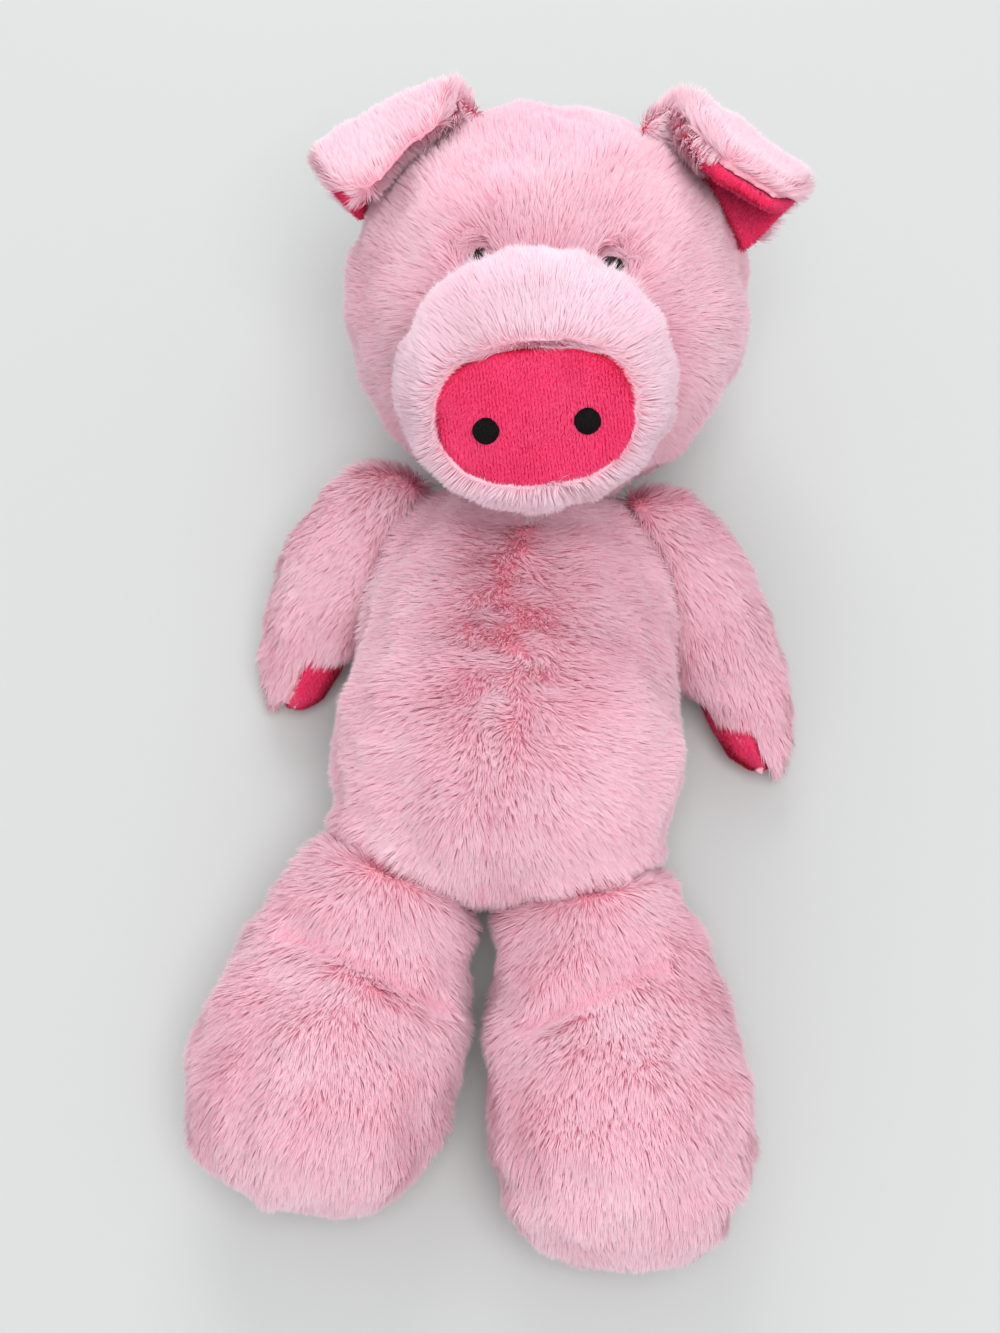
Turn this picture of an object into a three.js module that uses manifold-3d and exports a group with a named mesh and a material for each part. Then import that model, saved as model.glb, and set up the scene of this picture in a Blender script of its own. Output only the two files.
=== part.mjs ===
// Plush pig, about 32 cm from crown to toe, lying on its back with its face up.
// Millimetres. +Z is up, +Y runs from the seat to the crown, and +X is the pig's left side.
// The origin is on the surface that it lies on, under the middle of its back.
//
// It is made as a sewn toy is: coats of long plush round fibre filling, short-pile pads and ear
// linings, plastic eyes held by washers, and a pouch of pellets in the seat. Head, ears, arms, legs
// and tail each have a group of their own, which turns at the seam where that piece is sewn on.

import * as THREE from "three";
import { mergeVertices } from "three/addons/utils/BufferGeometryUtils.js";
import Module from "manifold-3d";

const wasm = await Module();
wasm.setup();

// Fabric and fit
const furCoat = 7; // backing and standing pile of the long plush
const pileStep = 3; // how far the long pile stands above a short-pile pad
const seamGap = 0.35; // between pieces that are sewn or packed face to face
const swingGap = 0.6; // between a limb and what it turns past
const restCut = 0.5; // how deep a form that lies on the surface is flattened
const weld = 1e-4; // points of a shape that are closer than this are one point
const sliver = 0.01; // detail that a cut leaves and that is smaller than this goes

// Torso
const torso = { length: 120, halfWidth: 47.5, halfDepth: 37.5, neckY: 56 };
const neck = { ballRadius: 18, socketGap: 1, belowTop: 12, height: 38 };
const pouch = { halfWidth: 27, halfLength: 17, halfDepth: 23, inFromSeat: 19 };

// Head
const head = { halfWidth: 57.5, radius: 55, aboveTorso: 49 };
const faceElevation = 52; // degrees that the face points up from the feet
const muzzle = { length: 52, halfWidth: 35.7, halfDepth: 33, chinward: 12, depthInHead: 32 };
const nose = { halfWidth: 24, halfHeight: 16.5, chinward: 5.5, twist: -10 };
const noseSquareness = 2.6; // the power of its outline, where an oval has 2
const nostril = { radius: 3.8, height: 2.2, apart: 25, chinward: 2 };
const eye = { radius: 4.2, sunk: 2.6, stemRadius: 1.3, stemLength: 11, apart: 38, crownward: 18 };
const washer = { radius: 6, thickness: 1.4 };

// Ears
const ear = { halfBase: 21.5, height: 35.5, backCoat: 5, lining: 2.2, foldRadius: 4.5, sewnIn: 1.2 };
const earPlace = { fromCrown: 47, behind: -7 }; // degrees, sideways and back from the crown
const earTipShare = 0.85; // how much of its width an ear has lost at the tip
const earTipPower = 1.8; // how late it loses it

// Arms, legs and tail, and where they are sewn on
const arm = { length: 98, halfWidth: 15.5, halfDepth: 13.5, rootIn: 13 };
const shoulder = { belowTop: 6, fromMiddle: 44, sideways: -3, height: 33 };
const palm = { halfLength: 14, halfWidth: 9, fromTip: 15, facing: 20 };
const leg = { length: 105, halfWidth: 35, halfDepth: 28.5, rootIn: 10, rootDrop: 16 };
const hip = { aboveSeat: 3, inFromSide: 8, sideways: -2.5, height: 49 };
const tail = { radius: 2.6, curlRadius: 5.4, curlTurn: 285, aboveSeat: 21 };

// How the limbs lie and how the ears have flopped, in degrees
const pose = {
  arm_left: { side: 1, splay: 28, bunchShare: 0.93 },
  arm_right: { side: -1, splay: 19, bunchShare: 0.82 },
  leg_left: { side: 1, splay: 9.5, bunchShare: 1 },
  leg_right: { side: -1, splay: 8.5, bunchShare: 0.94 },
  ear_left: { side: 1, lean: 0, fold: 93, slant: 17, foldFrom: 7.5 },
  ear_right: { side: -1, lean: 0, fold: 111, slant: 16, foldFrom: 5 },
};

// The falls, in degrees, between which a limb comes to rest, and how often they are halved
const fallSearch = { low: -30, high: 60, halvings: 20 };

// How far each seam lets its piece turn, in degrees
const range = {
  neck: [-30, 10],
  arm: [-15, 85],
  leg: [-8, 85],
  ear: [-30, 5],
  tail: [-50, 0],
};

// Outlines, as shares of a form's length, half width and half depth. Each row is a ring: how far
// along it lies, its width and depth, and how far its centre is lifted and swayed.
const torsoShares = [
  [0, 0, 0, -0.3, 0],
  [0.02, 0.48, 0.4, -0.26, 0],
  [0.09, 0.73, 0.64, -0.24, 0],
  [0.2, 0.85, 0.8, -0.2, 0],
  [0.38, 0.9, 0.89, -0.11, 0],
  [0.55, 0.98, 0.97, -0.03, 0],
  [0.68, 1, 1, 0, 0],
  [0.83, 0.94, 0.89, 0.04, 0],
  [0.94, 0.76, 0.68, 0.08, 0],
  [0.985, 0.46, 0.4, 0.08, 0],
  [1, 0, 0, 0.08, 0],
];
const muzzleShares = [
  [0, 0, 0, 0, 0],
  [0.03, 0.72, 0.72, 0, 0],
  [0.3, 0.95, 0.95, 0, 0],
  [0.6, 1, 1, 0, 0],
  [0.8, 0.97, 0.97, 0, 0],
  [0.93, 0.84, 0.84, 0, 0],
  [0.985, 0.56, 0.56, 0, 0],
  [1, 0, 0, 0, 0],
];
const armShares = [
  [0, 0, 0, 0, -0.3],
  [0.03, 0.52, 0.5, 0, -0.3],
  [0.13, 0.9, 0.86, 0, -0.18],
  [0.32, 1, 0.98, 0, 0.04],
  [0.5, 1, 1, 0, 0.08],
  [0.7, 0.97, 0.97, 0, 0.04],
  [0.86, 0.82, 0.82, 0, 0],
  [0.965, 0.5, 0.5, 0, 0],
  [1, 0, 0, 0, 0],
];
const legShares = [
  [0, 0, 0, 0, 0.02],
  [0.03, 0.38, 0.46, 0, 0.02],
  [0.12, 0.64, 0.72, 0, 0.04],
  [0.24, 0.81, 0.79, -0.02, 0.06],
  [0.36, 0.91, 0.8, -0.05, 0.07],
  [0.48, 0.97, 0.92, 0, 0.08],
  [0.64, 1, 1, 0.04, 0.09],
  [0.8, 0.95, 0.97, 0.02, 0.1],
  [0.92, 0.74, 0.74, 0, 0.1],
  [0.98, 0.44, 0.44, 0, 0.1],
  [1, 0, 0, 0, 0.1],
];

const reach = 600; // longer than the whole toy, for cutting boxes
const rad = THREE.MathUtils.degToRad;
const vector = (x, y, z) => new THREE.Vector3(x, y, z);

// Solids

function solidOf(geometry) {
  const bare = new THREE.BufferGeometry();
  bare.setAttribute("position", geometry.getAttribute("position").clone());
  bare.setIndex(geometry.index);
  const merged = mergeVertices(bare, weld);
  return new wasm.Manifold(
    new wasm.Mesh({
      numProp: 3,
      vertProperties: new Float32Array(merged.attributes.position.array),
      triVerts: new Uint32Array(merged.index.array),
    }),
  );
}

// One solid cut by several
function cut(solid, ...cutters) {
  return cutters.reduce((left, cutter) => left.subtract(cutter), solid);
}

// A box of half-space: what lies beyond `at` along an axis, in the direction of `sign`
function beyond(axis, at, sign) {
  const centre = vector(0, 0, 0);
  centre[axis] = at + (sign * reach) / 2;
  return new THREE.BoxGeometry(reach, reach, reach).translate(centre.x, centre.y, centre.z);
}

const belowSurface = solidOf(beyond("z", 0, -1));

function ellipsoid(halfX, halfY, halfZ, centre, around, rings) {
  const ball = new THREE.SphereGeometry(1, around, rings);
  return ball.scale(halfX, halfY, halfZ).translate(centre.x, centre.y, centre.z);
}

// Rings of an ellipse strung along -Y from the origin, closed at both ends, as `shares` says
function stuffedForm(size, shares, grow, rings, sides) {
  const radii = new THREE.CatmullRomCurve3(shares.map(([a, w, d]) => vector(a, w, d)));
  const drift = new THREE.CatmullRomCurve3(shares.map((row) => vector(row[3], row[4], 0)));
  const length = size.length + 2 * grow;
  const halfWidth = size.halfWidth + grow;
  const halfDepth = size.halfDepth + grow;
  const positions = [];
  for (let k = 0; k <= rings; k += 1) {
    const [along, wide, deep] = radii.getPoint(k / rings).toArray();
    const [lift, sway] = drift.getPoint(k / rings).toArray();
    const isTip = k === 0 || k === rings;
    for (let i = 0; i < (isTip ? 1 : sides); i += 1) {
      const angle = (2 * Math.PI * i) / sides;
      positions.push(
        (isTip ? 0 : wide * Math.cos(angle)) * halfWidth + sway * size.halfWidth,
        grow - along * length,
        (isTip ? 0 : deep * Math.sin(angle)) * halfDepth + lift * size.halfDepth,
      );
    }
  }
  const faces = [];
  const last = positions.length / 3 - 1;
  const vertex = (ring, i) => 1 + (ring - 1) * sides + (i % sides);
  for (let i = 0; i < sides; i += 1) {
    faces.push(0, vertex(1, i + 1), vertex(1, i));
    for (let k = 1; k < rings - 1; k += 1) {
      faces.push(vertex(k, i), vertex(k + 1, i + 1), vertex(k + 1, i));
      faces.push(vertex(k, i), vertex(k, i + 1), vertex(k + 1, i + 1));
    }
    faces.push(last, vertex(rings - 1, i), vertex(rings - 1, i + 1));
  }
  return new THREE.BufferGeometry()
    .setAttribute("position", new THREE.Float32BufferAttribute(positions, 3))
    .setIndex(faces);
}

// A sheet between two offsets of a surface: `place(u, v, offset)` gives a point for u and v in 0..1
function thickSheet(place, from, to, across, along) {
  const positions = [];
  for (const offset of [to, from])
    for (let j = 0; j <= along; j += 1)
      for (let i = 0; i <= across; i += 1) {
        const point = place(i / across, j / along, offset);
        positions.push(point.x, point.y, point.z);
      }
  const row = across + 1;
  const layer = row * (along + 1);
  const faces = [];
  const quad = (a, b, c, d) => faces.push(a, b, c, a, c, d);
  for (let j = 0; j < along; j += 1)
    for (let i = 0; i < across; i += 1) {
      const k = j * row + i;
      quad(k, k + 1, k + row + 1, k + row);
      quad(layer + k, layer + k + row, layer + k + row + 1, layer + k + 1);
    }
  for (let i = 0; i < across; i += 1) {
    const end = along * row + i;
    quad(i + 1, i, layer + i, layer + i + 1);
    quad(end, end + 1, layer + end + 1, layer + end);
  }
  for (let j = 0; j < along; j += 1) {
    const left = j * row;
    const right = left + across;
    quad(left, left + row, layer + left + row, layer + left);
    quad(right + row, right, layer + right, layer + right + row);
  }
  return new THREE.BufferGeometry()
    .setAttribute("position", new THREE.Float32BufferAttribute(positions, 3))
    .setIndex(faces);
}

// A bar along the matrix's own -Y axis, from its origin. Its outline is an oval, or squarer than
// that where its power is over 2.
function ovalBar(halfX, halfZ, length, matrix, power = 2) {
  const sides = 28;
  const share = (wave) => Math.sign(wave) * Math.abs(wave) ** (2 / power);
  const outline = Array.from({ length: sides }, (_, i) => {
    const angle = (2 * Math.PI * i) / sides;
    return new THREE.Vector2(halfX * share(Math.cos(angle)), halfZ * share(Math.sin(angle)));
  });
  const shape = new THREE.Shape(outline);
  const bar = new THREE.ExtrudeGeometry(shape, { depth: length, bevelEnabled: false });
  return solidOf(bar.rotateX(Math.PI / 2).applyMatrix4(matrix));
}

// The matrix of a turn about a hinge
function turnAt(hinge, degrees) {
  const { x, y, z } = hinge.pivot;
  return new THREE.Matrix4()
    .makeTranslation(x, y, z)
    .multiply(new THREE.Matrix4().makeRotationAxis(hinge.axis, rad(degrees)))
    .multiply(new THREE.Matrix4().makeTranslation(-x, -y, -z));
}

// The room that a form passes through as a hinge goes through its range: with `sense` 1 the form
// itself turns, and with -1 it stands still and is seen from the piece that turns.
function sweep(form, hinge, sense) {
  const coarsest = 8; // degrees between copies
  const [low, high] = hinge.range;
  const turns = Math.ceil((high - low) / coarsest);
  const copies = Array.from({ length: turns + 1 }, (_, k) => {
    const degrees = sense * (low + ((high - low) * k) / turns);
    return solidOf(form.clone().applyMatrix4(turnAt(hinge, degrees)));
  });
  return copies.reduce((all, copy) => all.add(copy));
}

// Materials

const material = (color, roughness, metalness = 0) =>
  new THREE.MeshStandardMaterial({ color, roughness, metalness });
const fur = material(0xe2a3b4, 0.95);
const paleFur = material(0xe9c6d0, 0.95);
const velboa = material(0xd8305c, 0.85);
const blackPlastic = material(0x140f10, 0.25);
const blackThread = material(0x171112, 0.8);
const fibre = material(0xf2f0ec, 1);
const cotton = material(0xe6dfd0, 0.9);
const clearPlastic = material(0xe9eaec, 0.4);

// A body's group sits at its hinge, so that turning the group turns the body at its seam.
const pig = new THREE.Group();

function bodyAt(hinge, parent) {
  const group = new THREE.Group();
  group.position.copy(hinge.pivot).sub(parent.userData.hinge?.pivot ?? vector(0, 0, 0));
  group.userData.hinge = hinge;
  parent.add(group);
  return group;
}

function addPiece(body, name, solid, paint) {
  const found = solid.simplify(sliver).getMesh();
  const pivot = body.userData.hinge.pivot;
  const positions = new Float32Array(found.numVert * 3);
  for (let i = 0; i < found.numVert; i += 1)
    for (let k = 0; k < 3; k += 1)
      positions[3 * i + k] = found.vertProperties[found.numProp * i + k] - pivot.getComponent(k);
  const geometry = new THREE.BufferGeometry();
  geometry.setAttribute("position", new THREE.BufferAttribute(positions, 3));
  geometry.setIndex(new THREE.BufferAttribute(new Uint32Array(found.triVerts), 1));
  geometry.computeVertexNormals();
  const mesh = new THREE.Mesh(geometry, paint);
  mesh.name = name;
  body.add(mesh);
}

// Torso

const axisZ = torso.halfDepth - restCut;
const torsoForm = (grow) =>
  stuffedForm(torso, torsoShares, grow, 11, 16).translate(0, torso.neckY, axisZ);
const seatY = torso.neckY - torso.length;
const acrossX = vector(-1, 0, 0); // turning about this axis lifts the feet
const neckHinge = {
  pivot: vector(0, torso.neckY - neck.belowTop, neck.height),
  axis: vector(1, 0, 0),
  range: range.neck,
};
const neckBall = (grow) => {
  const radius = neck.ballRadius + grow;
  return solidOf(ellipsoid(radius, radius, radius, neckHinge.pivot, 14, 8));
};

const headCentre = vector(0, torso.neckY + head.aboveTorso, head.radius - restCut);
const headForm = (grow) =>
  ellipsoid(head.halfWidth + grow, head.radius + grow, head.radius + grow, headCentre, 20, 12);

function makeTorso() {
  const body = bodyAt({ pivot: vector(0, 0, 0) }, pig);
  const headSweep = sweep(headForm(swingGap), neckHinge, 1);
  const outer = cut(solidOf(torsoForm(0)), belowSurface, headSweep);
  const coat = cut(outer, solidOf(torsoForm(-furCoat)), neckBall(seamGap));
  const front = cut(coat, solidOf(beyond("z", axisZ, -1)));
  addPiece(body, "torso_back", cut(coat, solidOf(beyond("z", axisZ - seamGap, 1))), fur);
  addPiece(body, "torso_front_left", cut(front, solidOf(beyond("x", 0, -1))), fur);
  addPiece(body, "torso_front_right", cut(front, solidOf(beyond("x", -seamGap, 1))), fur);
  const wideSweep = sweep(headForm(swingGap + seamGap), neckHinge, 1);
  const inside = cut(solidOf(torsoForm(-furCoat - seamGap)), wideSweep);
  const pouchCentre = vector(0, seatY + pouch.inFromSeat, axisZ);
  const pouchForm = (grow) => {
    const [halfX, halfY] = [pouch.halfWidth + grow, pouch.halfLength + grow];
    return solidOf(ellipsoid(halfX, halfY, pouch.halfDepth + grow, pouchCentre, 16, 10));
  };
  addPiece(body, "torso_filling", cut(inside, pouchForm(seamGap)).add(neckBall(0)), fibre);
  addPiece(body, "pellet_pouch", pouchForm(0).intersect(inside), cotton);
  return body;
}

// Head

// The face's own frame: -Y runs out through the nose, and +Z towards the crown
const faceTurn = new THREE.Matrix4().makeRotationX(-rad(faceElevation));
const faceAt = (x, outwards, crownward) =>
  vector(x, -outwards, crownward).applyMatrix4(faceTurn).add(headCentre);
const muzzleMatrix = new THREE.Matrix4()
  .setPosition(faceAt(0, muzzle.depthInHead, -muzzle.chinward))
  .multiply(faceTurn)
  .multiply(new THREE.Matrix4().makeRotationY(rad(nose.twist)));
const muzzleForm = (grow) =>
  stuffedForm(muzzle, muzzleShares, grow, 8, 16).applyMatrix4(muzzleMatrix);
// A place on the muzzle's own frame, where `out` is from the muzzle's root
const muzzleAt = (x, out, crownward) =>
  muzzleMatrix.clone().multiply(new THREE.Matrix4().makeTranslation(x, -out, crownward));

function makeHead() {
  const body = bodyAt(neckHinge, torsoBody);
  const inner = solidOf(headForm(-furCoat));
  const eyes = [1, -1].map(makeEye);
  const eyeRooms = eyes.map((made) => made.room);
  const socket = neckBall(neck.socketGap);
  const coat = cut(solidOf(headForm(0)), belowSurface, inner, socket, ...eyeRooms);
  const seamZ = headCentre.z;
  addPiece(body, "head_face", cut(coat, solidOf(beyond("z", seamZ, -1))), fur);
  addPiece(body, "head_back", cut(coat, solidOf(beyond("z", seamZ - seamGap, 1))), fur);
  const filling = cut(solidOf(headForm(-furCoat - seamGap)), socket, ...eyeRooms);
  addPiece(body, "head_filling", filling, fibre);
  for (const made of eyes) {
    addPiece(body, "eye_" + made.name, made.eye, blackPlastic);
    addPiece(body, "eye_washer_" + made.name, made.washer, clearPlastic);
  }
  addMuzzle(body, eyeRooms);
  return body;
}

function addMuzzle(body, eyeRooms) {
  const rooms = [solidOf(headForm(seamGap)), ...eyeRooms];
  const noseBar = (grow) => {
    const matrix = muzzleAt(0, muzzle.length / 2, -nose.chinward);
    const [halfX, halfZ] = [nose.halfWidth + grow, nose.halfHeight + grow];
    return ovalBar(halfX, halfZ, muzzle.length, matrix, noseSquareness);
  };
  const inner = solidOf(muzzleForm(-furCoat));
  const coat = cut(solidOf(muzzleForm(0)), inner, noseBar(seamGap), ...rooms);
  addPiece(body, "muzzle_coat", coat, paleFur);
  addPiece(body, "muzzle_filling", cut(solidOf(muzzleForm(-furCoat - seamGap)), ...rooms), fibre);
  const padForm = solidOf(muzzleForm(-pileStep));
  addPiece(body, "nose_pad", cut(padForm.intersect(noseBar(0)), inner), velboa);
  const dotForm = cut(
    solidOf(muzzleForm(nostril.height - pileStep)),
    solidOf(muzzleForm(seamGap - pileStep)),
  );
  for (const [name, side] of [["left", 1], ["right", -1]]) {
    const crownward = -nose.chinward - nostril.chinward;
    const matrix = muzzleAt((side * nostril.apart) / 2, muzzle.length / 2, crownward);
    const dot = ovalBar(nostril.radius, nostril.radius, muzzle.length, matrix);
    addPiece(body, "nostril_" + name, dotForm.intersect(dot), blackThread);
  }
}

// An eye's dome, stem and washer lie along a line square to the head, and `room` is their space.
function makeEye(side) {
  const outwards = Math.sqrt(head.radius ** 2 - (eye.apart / 2) ** 2 - eye.crownward ** 2);
  const place = faceAt((side * eye.apart) / 2, outwards, eye.crownward);
  const square = place.clone().sub(headCentre).normalize();
  const turn = new THREE.Quaternion().setFromUnitVectors(vector(0, -1, 0), square);
  const sunk = (depth) =>
    new THREE.Matrix4().compose(place.clone().addScaledVector(square, -depth), turn, vector(1, 1, 1));
  const dome = (grow) => {
    const radius = eye.radius + grow;
    const ball = ellipsoid(radius, radius, radius, vector(0, 0, 0), 10, 6);
    return solidOf(ball.applyMatrix4(sunk(eye.sunk)));
  };
  const stem = (grow) => {
    const radius = eye.stemRadius + grow;
    return ovalBar(radius, radius, eye.stemLength + 2 * grow, sunk(eye.sunk + eye.stemLength + grow));
  };
  const disc = (grow) => {
    const radius = washer.radius + grow;
    const depth = furCoat + seamGap + washer.thickness + grow;
    return ovalBar(radius, radius, washer.thickness + 2 * grow, sunk(depth));
  };
  return {
    name: side > 0 ? "left" : "right",
    eye: dome(0).add(stem(0)),
    washer: cut(disc(0), stem(seamGap)),
    room: dome(seamGap).add(stem(seamGap)).add(disc(seamGap)),
  };
}

// Ears

// An ear is a flat leaf that rises from the head and folds forward over its lining, along a line
// that slants away from its seam. Its own frame has +X along the seam, from the crown to the side,
// +Y out of the head and +Z towards the face.
function makeEar(name, parent) {
  const { side, lean, fold, slant, foldFrom } = pose[name];
  const sideways = rad(earPlace.fromCrown);
  const back = rad(earPlace.behind);
  const square = vector(
    side * Math.sin(sideways) * Math.cos(back),
    Math.sin(back),
    Math.cos(sideways) * Math.cos(back),
  ).applyMatrix4(faceTurn);
  const headRadii = vector(head.halfWidth, head.radius, head.radius);
  const base = headCentre
    .clone()
    .addScaledVector(square, 1 / square.clone().divide(headRadii).length() - ear.sewnIn);
  const towardsFace = vector(0, -1, 0).applyMatrix4(faceTurn);
  const along = new THREE.Vector3().crossVectors(square, towardsFace).multiplyScalar(side).normalize();
  const forward = new THREE.Vector3().crossVectors(along, square).multiplyScalar(side).normalize();
  const hinge = { pivot: base, axis: along, range: range.ear };
  const body = bodyAt(hinge, parent);
  const out = swung(square, forward, lean);
  const front = swung(forward, square, -lean);
  const foldAlong = swung(along, out, slant);
  const foldAcross = swung(out, along, -slant);
  const place = (u, v, offset) => {
    const x = (2 * u - 1) * ear.halfBase * Math.sqrt(1 - earTipShare * v ** earTipPower);
    const sag = Math.sqrt(head.radius ** 2 - x ** 2) - head.radius;
    const y = v * ear.height + sag * (1 - v);
    const lengthwise = x * Math.cos(rad(slant)) + y * Math.sin(rad(slant));
    const across = y * Math.cos(rad(slant)) - x * Math.sin(rad(slant));
    const turned = Math.min(Math.max((across - foldFrom) / ear.foldRadius, 0), rad(fold));
    const past = Math.max(across - foldFrom - rad(fold) * ear.foldRadius, 0);
    const bend = ear.foldRadius - offset;
    const rise = Math.min(across, foldFrom) + bend * Math.sin(turned) + past * Math.cos(turned);
    const ahead = ear.foldRadius - bend * Math.cos(turned) + past * Math.sin(turned);
    return base
      .clone()
      .addScaledVector(foldAlong, lengthwise)
      .addScaledVector(foldAcross, rise)
      .addScaledVector(front, ahead);
  };
  const headRoom = sweep(headForm(swingGap), hinge, -1);
  const sheet = (from, to) => {
    const made = thickSheet(place, from, to, 5, 10);
    return cut(solidOf(side > 0 ? made : flipped(made)), headRoom);
  };
  addPiece(body, name + "_back", sheet(-ear.backCoat, 0), fur);
  addPiece(body, name + "_lining", sheet(seamGap, seamGap + ear.lining), velboa);
}

// A direction turned towards another one that is square to it
function swung(direction, towards, degrees) {
  const kept = direction.clone().multiplyScalar(Math.cos(rad(degrees)));
  return kept.addScaledVector(towards, Math.sin(rad(degrees)));
}

function flipped(geometry) {
  const faces = Array.from(geometry.index.array);
  for (let i = 0; i < faces.length; i += 3) [faces[i], faces[i + 1]] = [faces[i + 1], faces[i]];
  return geometry.setIndex(faces);
}

// Limbs

// The fall, in degrees, at which a limb's form comes to rest on the surface
function restingFall(formAt) {
  let { low, high } = fallSearch;
  for (let k = 0; k < fallSearch.halvings; k += 1) {
    const middle = (low + high) / 2;
    const form = formAt(middle);
    form.computeBoundingBox();
    if (form.boundingBox.min.z > -restCut) low = middle;
    else high = middle;
  }
  return low;
}

// A limb's own frame has its hinge at the origin, its tip along -Y and its front face up.
const limbMatrix = (pivot, { side, splay }, fall) =>
  new THREE.Matrix4()
    .makeTranslation(pivot.x, pivot.y, pivot.z)
    .multiply(new THREE.Matrix4().makeRotationZ(rad(side * splay)))
    .multiply(new THREE.Matrix4().makeRotationX(rad(fall)));

function addStuffedLimb(body, name, formOf, room, ...patches) {
  const coat = cut(solidOf(formOf(0)), belowSurface, solidOf(formOf(-furCoat)), room, ...patches);
  const { behind, before } = body.userData.sides;
  addPiece(body, name + "_front", cut(coat, behind), fur);
  addPiece(body, name + "_back", cut(coat, before), fur);
  addPiece(body, name + "_filling", cut(solidOf(formOf(-furCoat - seamGap)), room), fibre);
}

// The half-spaces behind and before the side seams that split a limb's coat
const sidesOf = (matrix) => ({
  behind: solidOf(beyond("z", 0, -1).applyMatrix4(matrix)),
  before: solidOf(beyond("z", -seamGap, 1).applyMatrix4(matrix)),
});

function makeArm(name, parent) {
  const { side, bunchShare } = pose[name];
  const x = side * shoulder.fromMiddle + shoulder.sideways;
  const pivot = vector(x, torso.neckY - shoulder.belowTop, shoulder.height);
  const hinge = { pivot, axis: acrossX, range: range.arm };
  const body = bodyAt(hinge, parent);
  const shares = armShares.map(([a, w, d, lift, sway]) => [a, w, d, lift, side * sway]);
  const size = { ...arm, length: arm.length * bunchShare };
  const formAt = (fall, grow) =>
    stuffedForm(size, shares, grow, 10, 12)
      .translate(0, arm.rootIn, 0)
      .applyMatrix4(limbMatrix(pivot, pose[name], fall));
  const fall = restingFall((angle) => formAt(angle, 0));
  const matrix = limbMatrix(pivot, pose[name], fall);
  body.userData.sides = sidesOf(matrix);
  const room = sweep(torsoForm(swingGap), hinge, -1);
  const padMatrix = matrix
    .clone()
    .multiply(new THREE.Matrix4().makeTranslation(0, arm.rootIn + palm.fromTip - size.length, 0))
    .multiply(new THREE.Matrix4().makeRotationY(-side * rad(palm.facing)))
    .multiply(new THREE.Matrix4().makeRotationZ(-side * (Math.PI / 2)));
  const padBar = (grow) =>
    ovalBar(palm.halfLength + grow, palm.halfWidth + grow, arm.length, padMatrix);
  const sunkForm = solidOf(formAt(fall, -pileStep));
  const pad = cut(sunkForm.intersect(padBar(0)), solidOf(formAt(fall, -furCoat)));
  addStuffedLimb(body, name, (grow) => formAt(fall, grow), room, padBar(seamGap));
  addPiece(body, "palm_pad_" + (side > 0 ? "left" : "right"), pad, velboa);
}

function makeLeg(name, parent) {
  const { side, bunchShare } = pose[name];
  const fromMiddle = leg.halfWidth - hip.inFromSide;
  const pivot = vector(side * fromMiddle + hip.sideways, seatY + hip.aboveSeat, hip.height);
  const hinge = { pivot, axis: acrossX, range: range.leg };
  const body = bodyAt(hinge, parent);
  const shares = legShares.map(([a, w, d, lift, sway]) => [a, w, d, lift, side * sway]);
  const size = { ...leg, length: leg.length * bunchShare };
  const formAt = (fall, grow) =>
    stuffedForm(size, shares, grow, 11, 14)
      .translate(0, leg.rootIn, -leg.rootDrop)
      .applyMatrix4(limbMatrix(pivot, pose[name], fall));
  const fall = restingFall((angle) => formAt(angle, 0));
  const matrix = limbMatrix(pivot, pose[name], fall);
  const dropped = new THREE.Matrix4().makeTranslation(0, 0, -leg.rootDrop);
  body.userData.sides = sidesOf(matrix.clone().multiply(dropped));
  const room = sweep(torsoForm(swingGap), hinge, -1);
  addStuffedLimb(body, name, (grow) => formAt(fall, grow), room);
}

// The tail leaves the back near the seat and lies curled between it and the surface.
function makeTail(parent) {
  const pivot = vector(0, seatY + tail.aboveSeat, tail.radius);
  const body = bodyAt({ pivot, axis: acrossX, range: range.tail }, parent);
  const points = Array.from({ length: 13 }, (_, k) => {
    const angle = rad((tail.curlTurn * k) / 12);
    return vector((1 - Math.cos(angle)) * tail.curlRadius, -Math.sin(angle) * tail.curlRadius, 0);
  });
  const path = new THREE.CatmullRomCurve3(points);
  const section = new THREE.Shape().absarc(0, 0, tail.radius, 0, 2 * Math.PI, false);
  const curl = new THREE.ExtrudeGeometry(section, { extrudePath: path, steps: 14, curveSegments: 3 });
  const place = curl.translate(pivot.x, pivot.y, pivot.z);
  addPiece(body, "tail", cut(solidOf(place), sweep(torsoForm(seamGap), body.userData.hinge, -1)), velboa);
}

// Build

const torsoBody = makeTorso();
const headBody = makeHead();
for (const name of ["ear_left", "ear_right"]) makeEar(name, headBody);
for (const name of ["arm_left", "arm_right"]) makeArm(name, torsoBody);
for (const name of ["leg_left", "leg_right"]) makeLeg(name, torsoBody);
makeTail(torsoBody);

export default pig;
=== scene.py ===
# Looks of the plush pig. Blender works in metres; sizes here are in millimetres until a mesh is made.
# +Z is up, +Y runs from the seat to the crown, and +X is the pig's left side, as in the CAD.

import math
from collections import namedtuple

import bpy
import numpy as np
from mathutils import Matrix, Vector
from mathutils.bvhtree import BVHTree
from mathutils.kdtree import KDTree


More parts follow.
